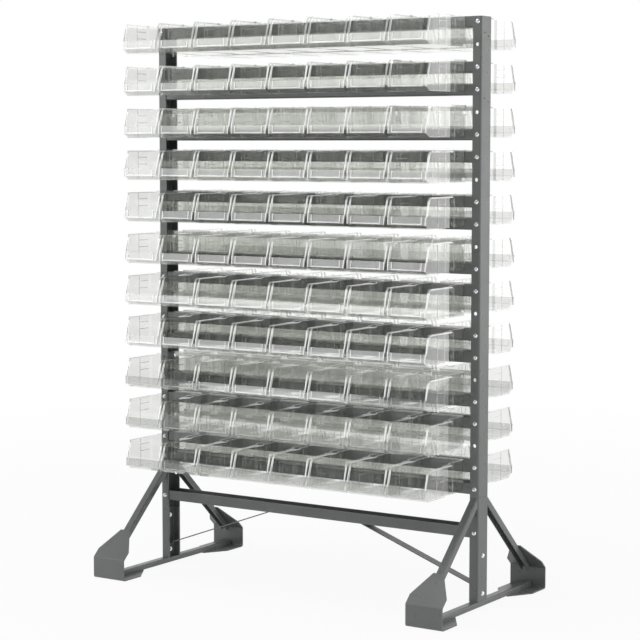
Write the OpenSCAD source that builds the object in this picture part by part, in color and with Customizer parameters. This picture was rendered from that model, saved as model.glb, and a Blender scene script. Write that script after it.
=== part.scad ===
// Double-sided bin rack: uprights on splayed feet, cross rails, and clear hang bins on both sides.
// Millimetres. The floor is z = 0, the front is towards -Y, and the origin is under the middle of the rack.

/* [Uprights] */
// Depth of an upright from its front flange to its back flange
post_d = 48; // [40:0.5:60]
// Width of an upright's flanges
post_w = 22; // [18:0.5:30]
// Sheet thickness of the uprights
post_t = 2.5; // [1.5:0.1:4]
// Outside radius of an upright's bends
post_bend_r = 4; // [3.5:0.1:5]
// Spacing of the holes down each flange
hole_pitch = 50.8; // [48:0.1:56]
// Diameter of the flange holes
hole_dia = 8.6; // [7:0.1:10]
// Height of the lowest flange hole above the floor
low_hole_h = 176.8; // [165:0.1:230]
// Distance from the top hole to the top of the upright
top_margin = 12.7; // [10:0.1:25]
// Diameter of the small holes high in each web
pin_hole_dia = 3.6; // [2:0.1:5]
// Drop from the top flange hole to the upper pair of small holes
pin_high_drop = 24; // [18:0.5:30]
// Drop from the fourth flange hole to the lower pair of small holes
pin_low_drop = 19; // [12:0.5:26]
// Spacing of a pair of small holes across the web
pin_gap_y = 18; // [12:0.5:26]
// Drop from the front small hole to the back one
pin_gap_z = 8; // [0:0.5:12]

/* [Rails] */
// Height of a rail's flanges
rail_h = 25; // [20:0.5:32]
// Sheet thickness of the rails
rail_t = 2; // [1.5:0.1:3]
// Outside radius of a rail's bends
rail_bend_r = 3.5; // [3:0.1:5]
// Gap left between a rail's end and the web of the upright
rail_end_gap = 1; // [0.5:0.1:3]

/* [Fasteners] */
// Diameter of the bolt shank
bolt_dia = 6; // [5:0.1:6.4]
// Diameter of the domed bolt head
bolt_head_dia = 11.5; // [11:0.1:14]
// Height of the domed bolt head
bolt_head_h = 4; // [2.5:0.1:5]
// Width across the flats of the nut
nut_flats = 10; // [9:0.1:12]
// Thickness of the nut
nut_h = 5; // [4:0.1:6]
// Length of shank that stands out of the nut
bolt_tip = 2; // [1:0.1:5]
// Clearance round the shank in the sheet that it passes
bolt_clear = 0.3; // [0.2:0.05:0.5]
// Clearance round the shank in the nut
nut_clear = 0.1; // [0.05:0.05:0.2]
// Height of the lower bolt in an upright's web
web_bolt_h = 32.5; // [30:0.5:36]
// Spacing of the two bolts in an upright's web
web_bolt_gap = 89; // [70:0.5:95]

/* [Base] */
// Depth of the base over the outer faces of the feet
base_d = 504; // [460:1:620]
// Height of a base rail
base_rail_h = 12; // [9:0.5:18]
// Sheet thickness of a base rail
base_rail_t = 2; // [1.5:0.1:3]
// Outside radius of a base rail's bends
base_rail_bend_r = 3.5; // [3:0.1:4.5]
// Height of the top of a base post above the floor
base_post_h = 141; // [135:0.5:150]
// Sheet thickness of a base post
base_post_t = 2.5; // [1.5:0.1:3]
// Outside radius of a base post's bends
base_post_bend_r = 4; // [3.5:0.1:5]
// Sheet thickness of the feet
foot_t = 3; // [2:0.1:5]
// Outside radius of the bends in a foot
foot_bend_r = 6; // [5:0.5:9]
// Width of a foot
foot_w = 94; // [80:0.5:120]
// Height of a foot's upright plate up to its bend
foot_bend_h = 52; // [40:0.5:70]
// Length of the straight sides above the bend
foot_side_l = 26.5; // [15:0.5:35]
// Length of the leaning plate above the bend
foot_slope_l = 90; // [70:0.5:105]
// Width of the leaning plate at its tip
foot_tip_w = 26; // [24:0.5:36]
// Depth of the full-width part of the floor plate
foot_floor_l = 68; // [50:0.5:90]
// Depth of the whole floor plate
foot_floor_reach = 125; // [100:0.5:150]

/* [Braces and straps] */
// Width of a brace
brace_w = 19; // [14:0.5:22]
// Depth of a brace's flanges
brace_d = 16; // [12:0.5:20]
// Sheet thickness of a brace
brace_t = 2; // [1.5:0.1:3]
// Outside radius of a brace's bends
brace_bend_r = 3.5; // [3:0.1:4.5]
// Height at which a brace meets the upright
brace_top_h = 263; // [250:0.5:265]
// Distance of a brace's lower end from the bend of the foot
brace_start = 7.5; // [6:0.5:20]
// Width of a knee strap
strap_w = 24; // [20:0.5:36]
// Thickness of a knee strap
strap_t = 2.5; // [2:0.1:6]
// Distance of a strap's upper end from the middle of the rack
strap_x = 130; // [100:1:200]
// Height of a strap's lower end
strap_low_h = 46; // [40:0.5:60]

/* [Bins] */
// Width of a bin over its rim
bin_w = 105; // [98:0.5:115]
// Length of a bin
bin_l = 187; // [170:1:205]
// Height of a bin from its floor to its rim
bin_h = 73; // [72:0.5:76]
// Wall thickness of a bin
bin_t = 2.4; // [1.8:0.1:3]
// Overhang of the rim on each side
rim_w = 4.25; // [3:0.05:6]
// Thickness of the rim
rim_t = 2.6; // [2:0.1:4]
// Height by which the rim drops ahead of its back part
rim_drop = 2.5; // [1.5:0.1:3]
// Length of the high back part of the rim
rim_back_l = 66; // [50:0.5:75]
// Overhang of the back part of the rim
rim_back_w = 2; // [1:0.1:3]
// Height of the low front wall
front_h = 28; // [22:0.5:36]
// Distance by which the rim stands behind the nose
front_lean = 17; // [10:0.5:28]
// Height of the nose above the floor of the bin
nose_h = 7; // [5:0.5:10]
// Distance by which the floor stops behind the nose
nose_in = 9; // [6:0.5:12]
// Distance of the side step from the back wall
step_l = 88; // [75:0.5:100]
// Depth of the side step
step_in = 4.25; // [3:0.05:6]
// Width of the label frame on the front wall
label_w = 66; // [50:0.5:75]
// Height of the label frame above the front wall
label_h = 1.3; // [0.8:0.1:2]
// Width of the label frame's edge
label_edge = 2.2; // [1.5:0.1:4]
// Distance of the label frame above the nose
label_up = 1.2; // [0.5:0.1:3]
// Width of the ribs on the side walls
rib_w = 2; // [1:0.1:4]
// Height of the ribs above the side walls
rib_h = 1; // [0.5:0.1:1.8]
// Distance of the front upright rib behind the nose
rib_front_l = 49; // [40:0.5:60]
// Distance of the back upright rib ahead of the back wall
rib_back_l = 31; // [24:0.5:40]
// Height of the lower level rib
rib_low_z = 36.5; // [30:0.5:42]
// Height of the upper level rib
rib_high_z = 53.3; // [48:0.5:60]
// Gap between neighbouring bins
bin_gap = 2.2; // [1.5:0.1:4]
// Gap between an end bin and the upright
side_gap = 10.3; // [6:0.1:16]

/* [Bin hooks] */
// Distance of a hook's end from the side of the bin
hook_side = 2; // [1:0.1:6]
// Thickness of the hook over the rail
hook_t = 3.5; // [2.5:0.1:4.5]
// Thickness of the hook's leg
leg_t = 2.5; // [2:0.1:3.5]
// Length of the hook's leg below the top of the rail
leg_l = 9; // [6:0.1:12]
// Gap between the hook and the top of the rail
seat_gap = 0.3; // [0.1:0.05:0.6]
// Gap between the rail and the bin on each side of the rail's flange
rail_gap = 0.6; // [0.4:0.05:1]

/* [Hidden] */
$fn = 48;
e = 0.01;
bins_per_row = 8;
rows = 11;
hole_count = 24;
rail_holes = [0, 2, 3, 5, 6, 8, 9, 11, 12, 14, 15, 17, 18, 20, 21];
cross_hole = 23;

// Sizes that follow from the ones above
bin_pitch = bin_w + bin_gap;
inner_w = bins_per_row * bin_w + (bins_per_row - 1) * bin_gap + 2 * side_gap;
rack_w = inner_w + 2 * post_w;
rack_h = low_hole_h + (hole_count - 1) * hole_pitch + top_margin;
post_x = rack_w / 2 - post_w / 2;
web_in_x = rack_w / 2 - post_t;
rail_d = post_d - 2 * post_t;
rail_l = 2 * (web_in_x - rail_end_gap);
base_post_in_x = web_in_x - base_post_t;
base_rail_z = foot_t;
post_z = base_rail_z + base_rail_h;
post_face_y = post_d / 2;
brace_run = base_d / 2 - post_face_y;
brace_angle = atan((brace_top_h - foot_bend_h) / brace_run);
body_w = bin_w - 2 * rim_w;
back_w = body_w - 2 * step_in;
hook_w = back_w - 2 * hook_side;
seat_z = bin_h - hook_t;
hook_out = 2 * rail_gap + rail_t + leg_t;
lean_angle = atan(front_lean / (bin_h - rim_drop - nose_h));

// Height of flange hole k, counted from the top
function hole_z(k) = low_hole_h + (hole_count - 1 - k) * hole_pitch;

// Height of the floor of the bins in row r, counted from the top
function bin_z(r) = hole_z(2 * (r - 1)) + rail_h / 2 + seat_gap - seat_z;

// Distance of the middle of bin i from the middle of the rack, counted from the left
function bin_x(i) = (i - (bins_per_row + 1) / 2) * bin_pitch;

// Setback of the outer front face of a bin at height z
function front_y(z) = -bin_l + front_lean * (z - nose_h) / (bin_h - rim_drop - nose_h);

steel = [0.40, 0.42, 0.41];
zinc = [0.78, 0.79, 0.80];
clear = [0.86, 0.90, 0.88, 0.45];

TOP_BINS = [for (i = [1:bins_per_row]) str("top_front_bin_", i)];
FRONT_ROWS = [for (r = [2:rows]) str("front_bins_row_", r)];
BACK_ROWS = [for (r = [1:rows]) str("back_bins_row_", r)];

// Profile of a block whose two lower corners are round, standing on y = 0
module round_base(w, h, r) {
    translate([-w / 2, r])
        square([w, h - r]);
    translate([-w / 2 + r, 0])
        square([w - 2 * r, r]);
    for (s = [-1, 1])
        translate([s * (w / 2 - r), r])
            circle(r = r);
}

// Profile of a folded channel: web of width w on y = 0, flanges up to h, outside bend radius r
module channel(w, h, t, r) {
    difference() {
        round_base(w, h, r);
        translate([0, t])
            round_base(w - 2 * t, h, r - t);
    }
}

// Holes for the two bolts low in the web of the upright on the right
module web_bolt_holes() {
    for (z = [web_bolt_h, web_bolt_h + web_bolt_gap])
        translate([base_post_in_x - 1, 0, z])
            rotate([0, 90, 0])
                cylinder(d = bolt_dia + 2 * bolt_clear, h = base_post_t + post_t + 2);
}

// Upright on the right: a channel with its web outward, drilled through both flanges
module upright() {
    color(steel)
    difference() {
        translate([rack_w / 2, 0, post_z])
            rotate([0, 0, 90])
                linear_extrude(rack_h - post_z)
                    channel(post_d, post_w, post_t, post_bend_r);
        for (k = [0:hole_count - 1])
            translate([post_x, 0, hole_z(k)])
                rotate([90, 0, 0])
                    cylinder(d = hole_dia, h = post_d + 2, center = true);
        web_bolt_holes();
        // Two slanting pairs of small holes high in the web
        for (z = [hole_z(0) - pin_high_drop, hole_z(3) - pin_low_drop])
            for (s = [-1, 1])
                translate([web_in_x + post_t / 2, s * pin_gap_y / 2, z - s * pin_gap_z / 2 - pin_gap_z / 2])
                    rotate([0, 90, 0])
                        cylinder(d = pin_hole_dia, h = 2 * post_t, center = true);
    }
}

// Base rail on the right: a shallow channel, open below, between the two feet
module base_rail() {
    color(steel)
    translate([post_x, 0, base_rail_z + base_rail_h])
        rotate([-90, 0, 0])
            linear_extrude(base_d - 2 * foot_bend_r, center = true)
                channel(post_w, base_rail_h, base_rail_t, base_rail_bend_r);
}

// Base post on the right: a short channel on the base rail, over which the upright is bolted
module base_post() {
    color(steel)
    difference() {
        translate([web_in_x, 0, post_z])
            rotate([0, 0, 90])
                linear_extrude(base_post_h - post_z)
                    channel(rail_d, post_w - post_t, base_post_t, base_post_bend_r);
        web_bolt_holes();
    }
}

// Sheet round one bend: the part of a ring between two directions, given in degrees
module bend(from, to) {
    far = 2 * foot_bend_r;
    intersection() {
        difference() {
            circle(r = foot_bend_r);
            circle(r = foot_bend_r - foot_t);
        }
        polygon([
            [0, 0],
            far * [cos(from), sin(from)],
            far * [cos((from + to) / 2), sin((from + to) / 2)],
            far * [cos(to), sin(to)]
        ]);
    }
}

// Side profile of a foot: floor plate, upright plate and leaning plate, bent from one sheet
module foot_profile() {
    top = foot_bend_h - foot_bend_r * (1 - sin(brace_angle)) / cos(brace_angle);
    start = foot_bend_r * (1 - sin(brace_angle)) / cos(brace_angle);
    translate([foot_bend_r, 0])
        square([foot_floor_reach - foot_bend_r, foot_t]);
    translate([foot_bend_r, foot_bend_r])
        bend(180, 270);
    translate([0, foot_bend_r])
        square([foot_t, top - foot_bend_r]);
    translate([foot_bend_r, top])
        bend(90 + brace_angle, 180);
    translate([0, foot_bend_h])
        rotate(brace_angle)
            translate([start, -foot_t])
                square([foot_slope_l - start, foot_t]);
}

// Front right foot: the bent sheet, with the corners of both end plates cut away
module foot() {
    half = foot_w / 2;
    translate([post_x, -base_d / 2, 0])
    color(steel)
    difference() {
        rotate([90, 0, 90])
            linear_extrude(foot_w, center = true)
                foot_profile();
        for (s = [-1, 1]) {
            translate([0, 0, -1])
                linear_extrude(foot_t + 2)
                    polygon([
                        [s * (half + e), foot_floor_l],
                        [s * post_w / 2, foot_floor_reach],
                        [s * post_w / 2, foot_floor_reach + 1],
                        [s * (half + e), foot_floor_reach + 1]
                    ]);
            translate([0, 0, foot_bend_h])
                rotate([brace_angle, 0, 0])
                    translate([0, 0, -foot_t - 1])
                        linear_extrude(foot_t + 2)
                            polygon([
                                [s * (half + e), foot_side_l],
                                [s * foot_tip_w / 2, foot_slope_l],
                                [s * foot_tip_w / 2, foot_slope_l + 1],
                                [s * (half + e), foot_slope_l + 1]
                            ]);
        }
    }
}

// Front right brace: a channel under the leaning plate, cut square below and upright at the top
module brace() {
    translate([post_x, -base_d / 2, 0])
    color(steel)
    intersection() {
        translate([0, 0, foot_bend_h])
            rotate([brace_angle, 0, 0])
                translate([0, brace_start, -foot_t])
                    rotate([-90, 0, 0])
                        linear_extrude(2 * brace_run)
                            channel(brace_w, brace_d, brace_t, brace_bend_r);
        translate([-brace_w, 0, 0])
            cube([2 * brace_w, brace_run, 2 * brace_top_h]);
    }
}

// Right knee strap: a flat bar from the underside of the cross channel to the base post
module knee_strap() {
    zc = hole_z(cross_hole) - rail_h / 2;
    slope = atan((zc - strap_low_h) / (base_post_in_x - strap_x));
    color(steel)
    translate([0, strap_w / 2, 0])
        rotate([90, 0, 0])
            linear_extrude(strap_w)
                polygon([
                    [strap_x, zc],
                    [strap_x + strap_t / sin(slope), zc],
                    [base_post_in_x, strap_low_h + strap_t / cos(slope)],
                    [base_post_in_x, strap_low_h]
                ]);
}

// One rail: a channel open at the top, with a bolt hole through each end of both flanges
module rail(k) {
    color(steel)
    translate([0, 0, hole_z(k) - rail_h / 2])
    difference() {
        rotate([90, 0, 90])
            linear_extrude(rail_l, center = true)
                channel(rail_d, rail_h, rail_t, rail_bend_r);
        for (s = [-1, 1])
            translate([s * post_x, 0, rail_h / 2])
                rotate([90, 0, 0])
                    cylinder(d = bolt_dia + 2 * bolt_clear, h = rail_d + 2, center = true);
    }
}

// Domed bolt whose head bears on the plane z = 0, with a shank for sheets of the given thickness below
module bolt(grip) {
    dome_r = (pow(bolt_head_dia / 2, 2) + pow(bolt_head_h, 2)) / (2 * bolt_head_h);
    intersection() {
        translate([0, 0, bolt_head_h - dome_r])
            sphere(r = dome_r);
        translate([-bolt_head_dia, -bolt_head_dia, 0])
            cube([2 * bolt_head_dia, 2 * bolt_head_dia, 2 * bolt_head_h]);
    }
    shank = grip + nut_h + bolt_tip;
    translate([0, 0, -shank])
        cylinder(d = bolt_dia, h = shank + e);
}

// Hexagon nut that bears on the plane z = 0 with its body below
module nut() {
    translate([0, 0, -nut_h])
    difference() {
        cylinder(d = nut_flats / cos(30), h = nut_h, $fn = 6);
        translate([0, 0, -1])
            cylinder(d = bolt_dia + 2 * nut_clear, h = nut_h + 2);
    }
}

// Places a fastener at every rail end, with its z axis out of the flange and its plane set in by inset
module at_rail_ends(inset) {
    for (k = concat(rail_holes, [cross_hole]))
        for (sx = [-1, 1])
            for (sy = [-1, 1])
                translate([sx * post_x, sy * (post_face_y - inset), hole_z(k)])
                    rotate([-90 * sy, 0, 0])
                        children();
}

// Places a fastener at both bolts in each web, with its z axis out of the web and its plane set in by inset
module at_web_bolts(inset) {
    for (z = [web_bolt_h, web_bolt_h + web_bolt_gap])
        for (sx = [-1, 1])
            translate([sx * (rack_w / 2 - inset), 0, z])
                rotate([0, 90 * sx, 0])
                    children();
}

// Side outline of a bin, with the back wall at y = 0 and the nose at y = -bin_l
module bin_side() {
    polygon([
        [0, 0],
        [-bin_l + nose_in, 0],
        [-bin_l, nose_h],
        [-bin_l + front_lean, bin_h - rim_drop],
        [-rim_back_l, bin_h - rim_drop],
        [-rim_back_l, bin_h],
        [0, bin_h]
    ]);
}

// Side outline of the space in a bin, open above the low front wall
module bin_side_inner() {
    polygon([
        [-bin_t, bin_t],
        [-bin_l + nose_in, bin_t],
        [front_y(front_h) + bin_t, front_h],
        [-bin_l - 10, front_h],
        [-bin_l - 10, bin_h + 10],
        [-bin_t, bin_h + 10]
    ]);
}

// Plan of a bin, wider in front of the side step, drawn inset by the given wall
module bin_plan(wall) {
    wide = body_w / 2 - wall;
    narrow = back_w / 2 - wall;
    bend = wall * tan(22.5);
    reach = wall > 0 ? 20 : 0;
    polygon([
        [-wide, -bin_l - reach],
        [wide, -bin_l - reach],
        [wide, -step_l - bend],
        [narrow, -step_l - bend + step_in],
        [narrow, -wall],
        [-narrow, -wall],
        [-narrow, -step_l - bend + step_in],
        [-wide, -step_l - bend]
    ]);
}

// Rim: wide and low along the front part of the sides, narrow and high round the back
module bin_rim() {
    front = -bin_l + front_lean;
    narrow = back_w / 2 + rim_back_w;
    translate([0, 0, bin_h - rim_drop - rim_t])
        linear_extrude(rim_t)
            difference() {
                translate([-bin_w / 2, front])
                    square([bin_w, -front - rim_back_l]);
                bin_plan(bin_t);
            }
    translate([0, 0, bin_h - rim_drop - rim_t])
        linear_extrude(rim_t + rim_drop)
            difference() {
                translate([-narrow, -rim_back_l - e])
                    square([2 * narrow, rim_back_l + e]);
                bin_plan(bin_t);
            }
}

// Hook that lies over the rail's flange with its underside at height z
module bin_hook(z) {
    rotate([90, 0, 90])
        linear_extrude(hook_w, center = true)
            polygon([
                [-bin_t / 2, z],
                [hook_out - leg_t, z],
                [hook_out - leg_t, z - leg_l],
                [hook_out, z - leg_l],
                [hook_out, z + hook_t],
                [-bin_t / 2, z + hook_t]
            ]);
}

// Raised ribs on one side wall: an upright one near each end, and two level ones ahead of the step
module bin_ribs() {
    front = -bin_l + rib_front_l;
    translate([body_w / 2 - bin_t / 2, 0, 0])
        rotate([90, 0, 90])
            linear_extrude(bin_t / 2 + rib_h)
                union() {
                    translate([front, 0])
                        square([rib_w, bin_h - rim_drop - rim_t / 2]);
                    for (z = [rib_low_z, rib_high_z])
                        translate([front, z])
                            square([-front - step_l - rib_h, rib_w]);
                }
    translate([back_w / 2 - bin_t / 2, -rib_back_l, 0])
        cube([bin_t / 2 + rib_h, rib_w, bin_h - rim_drop - rim_t / 2]);
}

// Raised label frame on the low front wall, open at the top
module bin_label() {
    face = (front_h - nose_h) / cos(lean_angle);
    translate([0, -bin_l, nose_h])
        rotate([90 - lean_angle, 0, 0])
            translate([0, 0, -bin_t / 2])
                linear_extrude(bin_t / 2 + label_h)
                    difference() {
                        translate([-label_w / 2, label_up])
                            square([label_w, face - label_up]);
                        translate([-label_w / 2 + label_edge, label_up + label_edge])
                            square([label_w - 2 * label_edge, face]);
                    }
}

// One hang bin: open at the top and over the low front wall, with two hooks one hole apart
module bin() {
    color(clear)
    union() {
        difference() {
            intersection() {
                rotate([90, 0, 90])
                    linear_extrude(bin_w, center = true)
                        bin_side();
                linear_extrude(bin_h)
                    bin_plan(0);
            }
            intersection() {
                rotate([90, 0, 90])
                    linear_extrude(bin_w, center = true)
                        bin_side_inner();
                linear_extrude(bin_h + 20)
                    bin_plan(bin_t);
            }
        }
        bin_rim();
        bin_hook(seat_z);
        bin_hook(seat_z - hole_pitch);
        bin_label();
        for (s = [0, 1])
            mirror([s, 0, 0])
                bin_ribs();
    }
}

// Bin i of row r on the front
module front_bin(r, i) {
    translate([bin_x(i), -rail_d / 2 - rail_gap, bin_z(r)])
        bin();
}

// A row of bins on the front
module front_row(r) {
    for (i = [1:bins_per_row])
        front_bin(r, i);
}

// The same row on the back, turned to face the other way
module back_row(r) {
    rotate([0, 0, 180])
        front_row(r);
}

mirror([1, 0, 0]) upright();  // left_upright
upright();  // right_upright
mirror([1, 0, 0]) base_rail();  // left_base_rail
base_rail();  // right_base_rail
mirror([1, 0, 0]) base_post();  // left_base_post
base_post();  // right_base_post
mirror([1, 0, 0]) foot();  // left_front_foot
foot();  // right_front_foot
rotate([0, 0, 180]) foot();  // left_back_foot
mirror([0, 1, 0]) foot();  // right_back_foot
mirror([1, 0, 0]) brace();  // left_front_brace
brace();  // right_front_brace
rotate([0, 0, 180]) brace();  // left_back_brace
mirror([0, 1, 0]) brace();  // right_back_brace
mirror([1, 0, 0]) knee_strap();  // left_knee_strap
knee_strap();  // right_knee_strap
for (j = [0:4]) rail(rail_holes[j]);  // upper_rails
for (j = [5:9]) rail(rail_holes[j]);  // middle_rails
for (j = [10:14]) rail(rail_holes[j]);  // lower_rails
rail(cross_hole);  // cross_channel
color(zinc) at_rail_ends(0) bolt(post_t + rail_t);  // rail_bolts
color(zinc) at_rail_ends(post_t + rail_t) nut();  // rail_nuts
color(zinc) at_web_bolts(0) bolt(post_t + base_post_t);  // web_bolts
color(zinc) at_web_bolts(post_t + base_post_t) nut();  // web_nuts
for (i = [1:bins_per_row])
    front_bin(1, i);
for (r = [2:rows])
    front_row(r);
for (r = [1:rows])
    back_row(r);
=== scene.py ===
# %% [markdown]
# # A double-sided bin rack
# The rack is a frame of grey painted steel channels with zinc bolts, and rows of clear plastic bins hang
# on both of its sides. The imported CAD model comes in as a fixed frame, in metres, with the floor at z = 0
# and the front towards -Y. The steel stays as it is and gets a finish. The bins are modelled again here,
# because clear plastic shows every edge and needs a clean mesh.

# %% Load the frame
import math

import bmesh
import bpy
from mathutils import Matrix, Vector


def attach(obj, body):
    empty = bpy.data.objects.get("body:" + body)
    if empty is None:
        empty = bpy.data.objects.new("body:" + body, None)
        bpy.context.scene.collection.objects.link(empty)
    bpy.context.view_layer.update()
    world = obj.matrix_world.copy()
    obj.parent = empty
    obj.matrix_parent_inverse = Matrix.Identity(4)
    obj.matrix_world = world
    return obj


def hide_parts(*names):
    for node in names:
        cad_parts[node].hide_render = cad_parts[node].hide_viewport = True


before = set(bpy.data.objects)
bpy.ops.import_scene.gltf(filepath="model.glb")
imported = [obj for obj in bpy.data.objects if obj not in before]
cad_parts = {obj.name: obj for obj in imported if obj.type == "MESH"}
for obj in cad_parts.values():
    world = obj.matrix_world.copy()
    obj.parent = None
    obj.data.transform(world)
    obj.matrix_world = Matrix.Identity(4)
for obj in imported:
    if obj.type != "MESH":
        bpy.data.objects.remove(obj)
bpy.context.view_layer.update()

scene = bpy.context.scene
print("CAD nodes:", len(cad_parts))

# %% [markdown]
# ## The camera
# A long lens stands well back, to the right of the rack and a little above its middle. Its place was found
# from the spacing of the holes in the uprights, so the picture can be laid over the photograph. A camera
# could also be aimed with a Track To constraint, but a matrix keeps every number in sight.

# %% Camera
lens_px, photo_px, sensor_mm = 1942.8, 640, 36.0
camera_place = (2.57562, -3.90843, 1.07184)
swing, tilt = math.radians(33.288), math.radians(5.195)
photo_camera = bpy.data.objects.new("photo_camera", bpy.data.cameras.new("photo_camera"))
photo_camera.data.sensor_width = sensor_mm
photo_camera.data.lens = lens_px / photo_px * sensor_mm
look = Vector((-math.sin(swing) * math.cos(tilt), math.cos(swing) * math.cos(tilt), -math.sin(tilt)))
turn = look.to_track_quat("-Z", "Y").to_matrix().to_4x4()
photo_camera.matrix_world = Matrix.Translation(camera_place) @ turn
scene.collection.objects.link(photo_camera)
scene.camera = photo_camera
scene.view_settings.view_transform = "Standard"
print("lens:", round(photo_camera.data.lens, 1), "mm")

# %% [markdown]
# ## Helpers for finishes
# A finish is a small tree of nodes. These helpers add a node, join two sockets, and make a cloud of noise
# on Object coordinates, which are metres on the rack because every piece sits at the origin.

# %% Node helpers
def new_finish(name):
    finish = bpy.data.materials.new(name)
    finish.use_nodes = True
    return finish, finish.node_tree, finish.node_tree.nodes["Principled BSDF"]


def add_node(tree, kind, **settings):
    made = tree.nodes.new(kind)
    for key, value in settings.items():
        if key in made.inputs:
            made.inputs[key].default_value = value
        else:
            setattr(made, key, value)
    return made


def clouds(tree, size, detail):
    """Noise whose clouds are about size metres across."""
    where = add_node(tree, "ShaderNodeTexCoord")
    noise = add_node(tree, "ShaderNodeTexNoise", Scale=1.0 / size, Detail=detail)
    tree.links.new(where.outputs["Object"], noise.inputs["Vector"])
    return noise.outputs["Fac"]


def between(tree, value, low, high, start=0.3, end=0.7):
    """Spreads a noise value from start to end over low to high."""
    spread = add_node(tree, "ShaderNodeMapRange")
    for key, number in (("From Min", start), ("From Max", end), ("To Min", low), ("To Max", high)):
        spread.inputs[key].default_value = number
    tree.links.new(value, spread.inputs["Value"])
    return spread.outputs["Result"]


def blend_colours(tree, amount, first, second):
    """Mixes two colours. A Mix node has its colours in sockets 6 and 7, and gives a colour from output 2."""
    mix = add_node(tree, "ShaderNodeMix", data_type="RGBA")
    tree.links.new(amount, mix.inputs[0])
    for socket, colour in ((mix.inputs[6], first), (mix.inputs[7], second)):
        if hasattr(colour, "links"):
            tree.links.new(colour, socket)
        else:
            socket.default_value = colour
    return mix.outputs[2]


def dents(tree, height, depth, strength):
    """A bump that is depth metres deep where the height value runs from 0 to 1."""
    bump = add_node(tree, "ShaderNodeBump", Strength=strength, Distance=depth)
    tree.links.new(height, bump.inputs["Height"])
    return bump.outputs["Normal"]


# %% [markdown]
# ## Grey paint
# The steel is sprayed with a satin grey coat. Close up the coat has a fine pebbled skin, and its gloss
# varies a little from place to place. A flat grey would look like card, so the colour drifts over a hand's
# breadth, pale specks stand for dust in the coat, and a fine bump breaks up the gloss.

# %% Painted steel
def make_grey_paint():
    finish, tree, paint = new_finish("grey_paint")
    drift = between(tree, clouds(tree, 0.12, 4.0), 0.0, 1.0)
    coat = blend_colours(tree, drift, (0.148, 0.157, 0.153, 1), (0.172, 0.180, 0.176, 1))
    specks = between(tree, clouds(tree, 0.004, 2.0), 0.0, 0.35, 0.62, 0.8)
    coat = blend_colours(tree, specks, coat, (0.23, 0.235, 0.23, 1))
    tree.links.new(coat, paint.inputs["Base Color"])
    tree.links.new(between(tree, clouds(tree, 0.03, 4.0), 0.26, 0.36), paint.inputs["Roughness"])
    tree.links.new(dents(tree, clouds(tree, 0.0016, 2.0), 0.0003, 0.25), paint.inputs["Normal"])
    paint.inputs["IOR"].default_value = 1.5
    return finish


grey_paint = make_grey_paint()
print("finish:", grey_paint.name)

# %% [markdown]
# ## Zinc
# The bolts and nuts are plated with bright zinc. It is a metal, so its colour is in its reflection. The
# plating is a little uneven, which shows as patches of different gloss.

# %% Zinc plate
def make_zinc():
    finish, tree, plate = new_finish("bright_zinc")
    patches = between(tree, clouds(tree, 0.003, 4.0), 0.0, 1.0)
    shade = blend_colours(tree, patches, (0.70, 0.71, 0.72, 1), (0.84, 0.85, 0.86, 1))
    tree.links.new(shade, plate.inputs["Base Color"])
    tree.links.new(between(tree, clouds(tree, 0.002, 3.0), 0.16, 0.34), plate.inputs["Roughness"])
    tree.links.new(dents(tree, clouds(tree, 0.0006, 2.0), 0.0001, 0.2), plate.inputs["Normal"])
    plate.inputs["Metallic"].default_value = 1.0
    return finish


zinc = make_zinc()
for name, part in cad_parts.items():
    if "bin" not in name:
        part.data.materials.clear()
        part.data.materials.append(zinc if name.endswith(("_bolts", "_nuts")) else grey_paint)
print("finish:", zinc.name)

# %% [markdown]
# ## Clear plastic
# The bins are moulded from clear plastic. Light goes straight through a thin wall, loses a little to its
# faint green-grey tint, and is mirrored more the flatter it strikes. Real refraction through some forty
# walls in a row would need very long light paths, so the walls are a Transparent shader with a gloss that
# grows by Fresnel. Only the outer side of a face mirrors: from inside, Fresnel would turn the wall black.
# At the cut edges of clear plastic, light that is caught inside the wall comes out. That light is painted in as
# a paler, more solid body on rims and edges than on the walls: a painted highlight. The front panel and the nose
# are thicker, so they are hazier and a little darker, and the thin ribs get a weaker painted highlight of the
# same kind. Each gets its own finish from the same recipe.

# %% Clear walls, and edges with a painted highlight
def make_clear_plastic(name, tint, solid, body, gloss):
    finish, tree, skin = new_finish(name)
    ripple = clouds(tree, 0.03, 1.0)
    skin.inputs["Base Color"].default_value = body
    skin.inputs["Roughness"].default_value = 0.3
    through = add_node(tree, "ShaderNodeBsdfTransparent", Color=tint)
    mirror = add_node(tree, "ShaderNodeBsdfGlossy", Color=(1, 1, 1, 1))
    tree.links.new(between(tree, ripple, 0.02, 0.07), mirror.inputs["Roughness"])
    hazy = add_node(tree, "ShaderNodeMixShader")
    tree.links.new(between(tree, ripple, solid * 0.7, solid * 1.3), hazy.inputs[0])
    tree.links.new(through.outputs[0], hazy.inputs[1])
    tree.links.new(skin.outputs[0], hazy.inputs[2])
    edge_on = add_node(tree, "ShaderNodeFresnel", IOR=gloss)
    side = add_node(tree, "ShaderNodeNewGeometry")
    outside = add_node(tree, "ShaderNodeMath", operation="SUBTRACT")
    outside.inputs[0].default_value = 1.0
    tree.links.new(side.outputs["Backfacing"], outside.inputs[1])
    amount = add_node(tree, "ShaderNodeMath", operation="MULTIPLY")
    tree.links.new(edge_on.outputs["Fac"], amount.inputs[0])
    tree.links.new(outside.outputs[0], amount.inputs[1])
    shiny = add_node(tree, "ShaderNodeMixShader")
    tree.links.new(amount.outputs[0], shiny.inputs[0])
    tree.links.new(hazy.outputs[0], shiny.inputs[1])
    tree.links.new(mirror.outputs[0], shiny.inputs[2])
    tree.links.new(shiny.outputs[0], tree.nodes["Material Output"].inputs["Surface"])
    return finish


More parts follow.
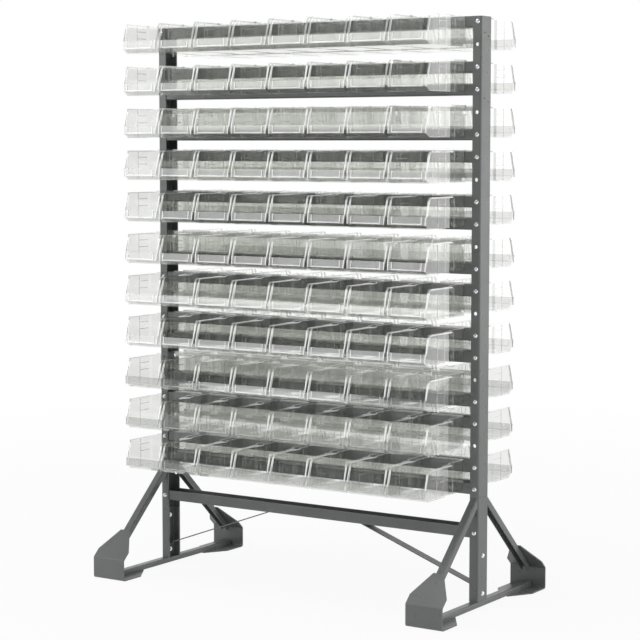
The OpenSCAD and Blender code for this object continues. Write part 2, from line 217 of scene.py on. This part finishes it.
# Each recipe: tint of the light let through, share of solid body, colour of that body, index for the gloss
plastic_recipes = {
    "wall": ((0.921, 0.924, 0.916, 1), 0.012, (0.78, 0.79, 0.77, 1), 1.9),
    # The pale, solid bodies of the edge and rib recipes are a painted highlight for light caught in the plastic
    "edge": ((0.95, 0.953, 0.945, 1), 0.44, (0.97, 0.975, 0.96, 1), 2.4),
    "thick": ((0.875, 0.878, 0.870, 1), 0.08, (0.90, 0.91, 0.89, 1), 1.9),
    "rib": ((0.965, 0.968, 0.960, 1), 0.24, (0.97, 0.975, 0.96, 1), 1.6),
}
bin_finishes = [make_clear_plastic("clear_plastic_" + kind, *recipe) for kind, recipe in plastic_recipes.items()]
wall_finish, edge_highlight_finish, thick_finish, rib_highlight_finish = range(len(bin_finishes))
scene.cycles.transparent_max_bounces = 96
print("finishes:", [f.name for f in bin_finishes])

# %% [markdown]
# ## One bin: the tub
# A hang bin is a tray with a stepped side, a low front panel and a chamfered nose. The panel leans back a
# little, and the front edge of the side wall above it leans back more. The tub could be cut from a block, but
# the quickest way is its side outline: one face, extruded across the bin. Two cuts mark the step, and the
# points behind it move inward. Then the top and the upper front are opened, and Solidify makes a wall.

# %% Tub of a bin
bin_w, bin_l, bin_h, wall = 0.105, 0.187, 0.073, 0.0024
half_front, half_back = 0.04825, 0.044
rim_top, rim_under, rim_split = 0.0705, 0.0679, -0.066
step_y, step_in = -0.0955, 0.00425
front_h, nose_h, nose_in = 0.028, 0.009, 0.015
panel_lean, shoulder_lean, rim_lean, shoulder_h = 0.0028, 0.0144, 0.0192, 0.0630
nose, panel_top = (-bin_l, nose_h), (-bin_l + panel_lean, front_h)
shoulder, rim_front = (-bin_l + shoulder_lean, shoulder_h), (-bin_l + rim_lean, rim_top)
# Two distances that count as none when faces are picked, and the gap between clear faces
tiny, close, hair = 1e-5, 1e-4, 0.00005


def cut_faces(mesh, faces, point, normal):
    """Cuts only the given faces by a plane. Points that lie on it already are left alone."""
    edges = {e for f in faces for e in f.edges}
    verts = {v for f in faces for v in f.verts}
    bmesh.ops.bisect_plane(mesh, geom=list(faces) + list(edges) + list(verts), dist=tiny,
                           plane_co=point, plane_no=normal)
    mesh.normal_update()


def faces_where(mesh, test):
    return [f for f in mesh.faces if test(f.calc_center_median(), f.normal)]


def make_tub():
    tub = bmesh.new()
    outline = [(0, 0), (-bin_l + nose_in, 0), nose, panel_top, shoulder, rim_front,
               (rim_split, rim_top), (rim_split, bin_h), (0, bin_h)]
    side = tub.faces.new([tub.verts.new((-half_front, y, z)) for y, z in outline])
    pulled = bmesh.ops.extrude_face_region(tub, geom=[side])["geom"]
    far_side = [v for v in pulled if isinstance(v, bmesh.types.BMVert)]
    bmesh.ops.translate(tub, vec=(2 * half_front, 0, 0), verts=far_side)
    bmesh.ops.recalc_face_normals(tub, faces=tub.faces)
    for y in (step_y, step_y + step_in):
        cut_faces(tub, tub.faces[:], (0, y, 0), (0, 1, 0))
    for v in tub.verts:
        if v.co.y > step_y + step_in - tiny:
            v.co.x *= half_back / half_front
    tub.normal_update()
    upper = faces_where(tub, lambda c, n: (n.z > 0.9 and c.z > 0.05) or (n.y < -0.6 and c.z > front_h)
                        or (abs(n.y) > 0.9 and abs(c.y - rim_split) < close))
    bmesh.ops.delete(tub, geom=upper, context="FACES")
    return tub


tub = make_tub()
print("sheet of the tub:", len(tub.faces), "faces")

# %% [markdown]
# ## One bin: rim, hooks and label frame
# The rim, the two hooks and the frame for a label are one piece with the tub, so they are drawn out of its
# faces: cut the face where the feature starts, then extrude it.

# %% Rim
rim_ramp, back_rim = 0.004, 0.002


def draw_out(mesh, faces, shift):
    """Extrudes a region, moves what it made and removes the faces left inside. Returns the new points."""
    made = bmesh.ops.extrude_face_region(mesh, geom=faces)["geom"]
    verts = [v for v in made if isinstance(v, bmesh.types.BMVert)]
    bmesh.ops.translate(mesh, vec=shift, verts=verts)
    bmesh.ops.delete(mesh, geom=faces, context="FACES")
    mesh.normal_update()
    return verts


def add_wall_and_rim(tub):
    sides = faces_where(tub, lambda c, n: abs(n.x) > 0.5)
    cut_faces(tub, sides, (0, 0, rim_under), (0, 0, 1))
    strips = faces_where(tub, lambda c, n: abs(n.x) > 0.5 and c.z > rim_under)
    cut_faces(tub, strips, (0, rim_split, 0), (0, 1, 0))
    strips = faces_where(tub, lambda c, n: abs(n.x) > 0.5 and c.z > rim_under)
    cut_faces(tub, strips, (0, rim_split - rim_ramp, 0), (0, 1, 0))
    bmesh.ops.solidify(tub, geom=tub.faces[:], thickness=wall)
    tub.normal_update()
    for sign in (-1, 1):
        strips = faces_where(tub, lambda c, n: c.x * sign > 0 and n.x * sign > 0.5 and c.z > rim_under)
        for v in draw_out(tub, strips, (sign * back_rim, 0, 0)):
            reach = half_back + back_rim if v.co.y > rim_split - tiny else bin_w / 2
            v.co.x = sign * reach
    tub.normal_update()


add_wall_and_rim(tub)
print("tub with its rim:", len(tub.faces), "faces")

# %% Hooks
hook_t, hook_out, hook_in = 0.0035, 0.0057, 0.002
leg_t, leg_l, hole_pitch = 0.0025, 0.009, 0.0508
hook_half = half_back - hook_in


def add_hooks(tub):
    for top in (bin_h, bin_h - hole_pitch):
        for z in (top, top - hook_t):
            back = faces_where(tub, lambda c, n: n.y > 0.9 and abs(c.y) < close and abs(c.x) < half_back)
            cut_faces(tub, back, (0, 0, z), (0, 0, 1))
        strip = faces_where(tub, lambda c, n: n.y > 0.9 and abs(c.y) < close and top - hook_t < c.z < top)
        for x in (-hook_half, hook_half):
            cut_faces(tub, strip, (x, 0, 0), (1, 0, 0))
            strip = faces_where(tub, lambda c, n: n.y > 0.9 and abs(c.y) < close and top - hook_t < c.z < top)
        draw_out(tub, [f for f in strip if abs(f.calc_center_median().x) < hook_half], (0, hook_out, 0))
        under = faces_where(tub, lambda c, n: n.z < -0.9 and c.y > 0 and abs(c.z - top + hook_t) < close)
        cut_faces(tub, under, (0, hook_out - leg_t, 0), (0, 1, 0))
        foot = faces_where(tub, lambda c, n: n.z < -0.9 and c.y > hook_out - leg_t
                           and abs(c.z - top + hook_t) < close)
        draw_out(tub, foot, (0, 0, -leg_l))


add_hooks(tub)
print("with hooks:", len(tub.faces), "faces")

# %% Label frame
label_half, label_edge, label_up, label_h = 0.0395, 0.0024, 0.0012, 0.0013
front_zone = -0.17


def add_label_frame(tub):
    def front():
        return faces_where(tub, lambda c, n: n.y < -0.9 and c.y < front_zone and c.z < front_h)

    foot = Vector((0, *nose))
    up = (Vector((0, *panel_top)) - foot).normalized()
    for x in (-label_half, -label_half + label_edge, label_half - label_edge, label_half):
        cut_faces(tub, front(), (x, 0, 0), (1, 0, 0))
    middle = [f for f in front() if abs(f.calc_center_median().x) < label_half]
    cut_faces(tub, middle, foot + up * label_up, up)
    middle = [f for f in front() if abs(f.calc_center_median().x) < label_half]
    cut_faces(tub, middle, foot + up * (label_up + label_edge), up)
    bars = []
    for f in front():
        c = f.calc_center_median()
        height = (c - foot).dot(up)
        if abs(c.x) < label_half and height > label_up and (
                abs(c.x) > label_half - label_edge or height < label_up + label_edge):
            bars.append(f)
    draw_out(tub, bars, bars[0].normal.copy() * label_h)


add_label_frame(tub)
print("with the label frame:", len(tub.faces), "faces")

# %% [markdown]
# ## One bin: ribs, lips and ears
# Ribs stiffen the side walls, a bead runs along their bottom edge, and a lip stands out from their front edge.
# The panel reaches past the walls as two ears, with a bead in front of each corner. In the mould they are one
# piece with the wall. Here they are bars and strips a hair away from it, so that two clear faces never share
# one plane. Ribs, lips and beads are paler than the walls, as a painted highlight for light caught in them.

# %% Ribs
rib_w, rib_h = 0.0018, 0.001
rib_front, rib_rear, rib_levels = -bin_l + 0.055, -0.052, (0.0365, 0.0533)


def give_finish(verts, index):
    for f in {f for v in verts for f in v.link_faces}:
        f.material_index = index


def add_bar(mesh, low, high):
    centre = (Vector(low) + Vector(high)) / 2
    size = Vector(high) - Vector(low)
    stretch = Matrix.Translation(centre) @ Matrix.Diagonal((*size, 1))
    # Ribs get the rib finish, whose pale body is a painted highlight
    give_finish(bmesh.ops.create_cube(mesh, size=1.0, matrix=stretch)["verts"], rib_highlight_finish)


def add_ribs(tub):
    behind = rib_front + rib_w + hair
    for sign in (-1, 1):
        near, far = sorted((sign * (half_front + hair), sign * (half_front + rib_h)))
        add_bar(tub, (near, rib_front, 0.0), (far, rib_front + rib_w, rim_under - hair))
        for z in (*rib_levels, 0.0):
            add_bar(tub, (near, behind, z), (far, step_y - rib_h, z + rib_w))
        add_bar(tub, (near, -bin_l + nose_in, 0.0), (far, rib_front - hair, rib_w))
        near, far = sorted((sign * (half_back + hair), sign * (half_back + rib_h)))
        add_bar(tub, (near, rib_rear, 0.0), (far, rib_rear + rib_w, rim_under - hair))


print("ribs on a wall:", 2 + len(rib_levels), "and beads along its bottom")


# %% Lips and ears
lip, lip_end = 0.0025, 0.0016
bead, bead_out, ear_foot = 0.0012, 0.0007, 0.0004


def add_strip(mesh, line, inner, outer, thick, index):
    """A thin strip beside both walls along a line of the outline. Outer is how far it reaches at each end."""
    for sign in (-1, 1):
        verts = bmesh.ops.create_cube(mesh, size=1.0)["verts"]
        give_finish(verts, index)
        for v in verts:
            end = int(v.co.z > 0)
            x = outer[end] if v.co.x * sign > 0 else inner
            v.co = (sign * x, line[end][0] + (thick if v.co.y > 0 else 0), line[end][1])


def add_lips(tub):
    near = half_front + hair
    reach = (near + lip, near + lip)
    under = (rim_front[0] - lip_end, rim_under - hair)
    above = (shoulder[0] + hair, shoulder[1] + hair)
    # Lips get the edge finish, whose pale body is a painted highlight
    add_strip(tub, (panel_top, shoulder), near, reach, lip, edge_highlight_finish)
    add_strip(tub, (above, under), near, reach, lip, edge_highlight_finish)


def add_ears(tub):
    near = half_front + hair
    top = (panel_top[0] - hair, panel_top[1] - hair)
    add_strip(tub, (nose, top), near, (near + ear_foot, bin_w / 2 - hair), wall, thick_finish)
    line = [(y - bead_out - hair, z) for y, z in (nose, panel_top)]
    # Beads get the edge finish, whose pale body is a painted highlight
    add_strip(tub, line, half_front - bead, (half_front + bead, half_front + bead), bead_out, edge_highlight_finish)


print("lips of", 1000 * lip, "mm, beads of", 2000 * bead, "mm")

# %% [markdown]
# ## One bin: which face gets which finish
# A face is thin when its area divided by its longest edge is small: rims, cut edges and label bars. These and
# the hooks get the edge finish, with its painted highlight. The front panel and the nose count as thick, and the
# rest is wall. The finishes could be painted by hand, but a rule also holds when a size changes.

# %% Finishes of one bin
thin_limit, hook_zone, panel_tilt = 0.0046, 0.0005, 0.3


def mark_edges(tub):
    foot = Vector((0, *nose))
    out = Vector((0, nose_h - front_h, panel_top[0] - nose[0])).normalized()
    for f in tub.faces:
        c = f.calc_center_median()
        low_front = abs(f.normal.y) > panel_tilt and c.y < front_zone and c.z < front_h
        thin = f.calc_area() / max(e.calc_length() for e in f.edges) < thin_limit
        if low_front and (c - foot).dot(out) < label_h / 2:
            f.material_index = thick_finish
        else:
            # Thin faces and hooks get the edge finish, whose pale body is a painted highlight
            f.material_index = edge_highlight_finish if thin or c.y > hook_zone else wall_finish
        f.smooth = False


bmesh.ops.dissolve_limit(tub, angle_limit=0.01, verts=tub.verts, edges=tub.edges, delimit={"NORMAL"})
mark_edges(tub)
add_ribs(tub)
add_lips(tub)
add_ears(tub)
bin_mesh = bpy.data.meshes.new("one_bin")
tub.to_mesh(bin_mesh)
tub.free()
edge_count = sum(p.material_index == edge_highlight_finish for p in bin_mesh.polygons)
print("one bin:", len(bin_mesh.polygons), "faces,", edge_count, "of them edges")

# %% [markdown]
# ## Rows of bins
# Eight bins hang side by side in each of eleven rows, on the front and again on the back. Each CAD node of
# bins gets one mesh, with a copy of the bin in each of its places, and stays on the body that lifts it.

# %% Hang the bins
bin_pitch, low_hole, back_face = 0.1072, 0.1768, 0.0221
top_hole, below_hole = 23, 0.0567
columns, rows = range(1, 9), range(1, 12)
middle = (columns[0] + columns[-1]) / 2


def bin_place(row, column, turned):
    hole = low_hole + (top_hole - 2 * (row - 1)) * hole_pitch
    place = Matrix.Translation(((column - middle) * bin_pitch, -back_face, hole - below_hole))
    return Matrix.Rotation(math.pi, 4, "Z") @ place if turned else place


def hang(node, places):
    row = bmesh.new()
    for place in places:
        start = len(row.verts)
        row.from_mesh(bin_mesh)
        row.verts.ensure_lookup_table()
        bmesh.ops.transform(row, matrix=place, verts=row.verts[start:])
    mesh = bpy.data.meshes.new("clear_" + node)
    row.to_mesh(mesh)
    row.free()
    for finish in bin_finishes:
        mesh.materials.append(finish)
    piece = bpy.data.objects.new("clear_" + node, mesh)
    scene.collection.objects.link(piece)
    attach(piece, node)
    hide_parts(node)
    return piece


for column in columns:
    hang(f"top_front_bin_{column}", [bin_place(1, column, False)])
for row_no in rows[1:]:
    hang(f"front_bins_row_{row_no}", [bin_place(row_no, c, False) for c in columns])
for row_no in rows:
    hang(f"back_bins_row_{row_no}", [bin_place(row_no, c, True) for c in columns])
print("bins hung:", 2 * len(columns) * len(rows))

# %% [markdown]
# ## Floor and light
# The rack stands in a white studio, and its floor keeps a soft shadow. Rays by which the floor is seen get
# mostly plain white, so that it has no visible end. The world has three faces: plain white for what is seen
# straight on or through plastic, a dimmer sky for the light that falls on the rack, and for reflections a
# room that is darker in front, where the camera would stand. Light sampling of the world is off, because it
# would give rough reflections the sky in place of the room. Broad lamps above, in front to the left, to the
# right and behind give the steel its shape.

# %% Floor
floor_half = 30.0


def seen_rays(tree, rays):
    """One for rays by which the studio is seen, straight on, mirrored or through plastic."""
    mirrored = add_node(tree, "ShaderNodeMath", operation="MAXIMUM")
    seen = add_node(tree, "ShaderNodeMath", operation="MAXIMUM")
    tree.links.new(rays.outputs["Is Camera Ray"], mirrored.inputs[0])
    tree.links.new(rays.outputs["Is Glossy Ray"], mirrored.inputs[1])
    tree.links.new(mirrored.outputs[0], seen.inputs[0])
    tree.links.new(rays.outputs["Is Transmission Ray"], seen.inputs[1])
    return seen.outputs[0]


def make_floor():
    sheet = bmesh.new()
    bmesh.ops.create_grid(sheet, x_segments=1, y_segments=1, size=floor_half)
    mesh = bpy.data.meshes.new("studio_floor")
    sheet.to_mesh(mesh)
    sheet.free()
    floor = bpy.data.objects.new("studio_floor", mesh)
    scene.collection.objects.link(floor)
    finish, tree, paint = new_finish("white_floor")
    paint.inputs["Base Color"].default_value = (0.86, 0.86, 0.86, 1)
    paint.inputs["Roughness"].default_value = 0.8
    paint.inputs["Specular IOR Level"].default_value = 0.0
    rays = add_node(tree, "ShaderNodeLightPath")
    white = add_node(tree, "ShaderNodeEmission", Strength=1.0)
    where = add_node(tree, "ShaderNodeTexCoord")
    away = add_node(tree, "ShaderNodeVectorMath", operation="LENGTH")
    tree.links.new(where.outputs["Object"], away.inputs[0])
    share = add_node(tree, "ShaderNodeMath", operation="MULTIPLY")
    tree.links.new(seen_rays(tree, rays), share.inputs[0])
    tree.links.new(between(tree, away.outputs["Value"], 0.92, 1.0, 0.8, 3.5), share.inputs[1])
    mix = add_node(tree, "ShaderNodeMixShader")
    tree.links.new(share.outputs[0], mix.inputs[0])
    tree.links.new(paint.outputs[0], mix.inputs[1])
    tree.links.new(white.outputs[0], mix.inputs[2])
    tree.links.new(mix.outputs[0], tree.nodes["Material Output"].inputs["Surface"])
    mesh.materials.append(finish)


make_floor()
print("floor laid")

# %% World and lamps
def make_world(strength):
    world = bpy.data.worlds.new("white_studio")
    world.use_nodes = True
    world.cycles.sampling_method = "NONE"
    tree = world.node_tree
    sky = tree.nodes["Background"]
    sky.inputs["Color"].default_value = (1, 1, 1, 1)
    sky.inputs["Strength"].default_value = strength
    rays = add_node(tree, "ShaderNodeLightPath")
    backdrop = add_node(tree, "ShaderNodeBackground", Color=(1, 1, 1, 1), Strength=1.0)
    room = add_node(tree, "ShaderNodeBackground", Color=(1, 1, 1, 1))
    where = add_node(tree, "ShaderNodeTexCoord")
    split = add_node(tree, "ShaderNodeSeparateXYZ")
    tree.links.new(where.outputs["Generated"], split.inputs[0])
    tree.links.new(between(tree, split.outputs["Y"], 0.25, 1.0, -0.3, 0.3), room.inputs["Strength"])
    mirrored = add_node(tree, "ShaderNodeMixShader")
    tree.links.new(rays.outputs["Is Glossy Ray"], mirrored.inputs[0])
    tree.links.new(sky.outputs[0], mirrored.inputs[1])
    tree.links.new(room.outputs[0], mirrored.inputs[2])
    straight = add_node(tree, "ShaderNodeMath", operation="MAXIMUM")
    tree.links.new(rays.outputs["Is Camera Ray"], straight.inputs[0])
    tree.links.new(rays.outputs["Is Transmission Ray"], straight.inputs[1])
    mix = add_node(tree, "ShaderNodeMixShader")
    tree.links.new(straight.outputs[0], mix.inputs[0])
    tree.links.new(mirrored.outputs[0], mix.inputs[1])
    tree.links.new(backdrop.outputs[0], mix.inputs[2])
    tree.links.new(mix.outputs[0], tree.nodes["World Output"].inputs["Surface"])
    scene.world = world


def add_lamp(name, place, aim, size, watts):
    data = bpy.data.lights.new(name, "AREA")
    data.shape, data.size, data.energy = "DISK", size, watts
    lamp = bpy.data.objects.new(name, data)
    lamp.location = place
    lamp.rotation_euler = (Vector(aim) - Vector(place)).to_track_quat("-Z", "Y").to_euler()
    scene.collection.objects.link(lamp)


make_world(0.36)
add_lamp("top_lamp", (-0.3, -0.4, 3.4), (0, 0, 0.6), 2.0, 40)
add_lamp("front_lamp", (-1.65, -2.5, 1.85), (0, 0, 0.75), 2.2, 28)
add_lamp("right_lamp", (3.4, -0.2, 1.3), (0, 0, 0.7), 1.6, 18)
add_lamp("back_lamp", (2.4, 2.6, 1.2), (0, 0, 0.7), 2.4, 16)
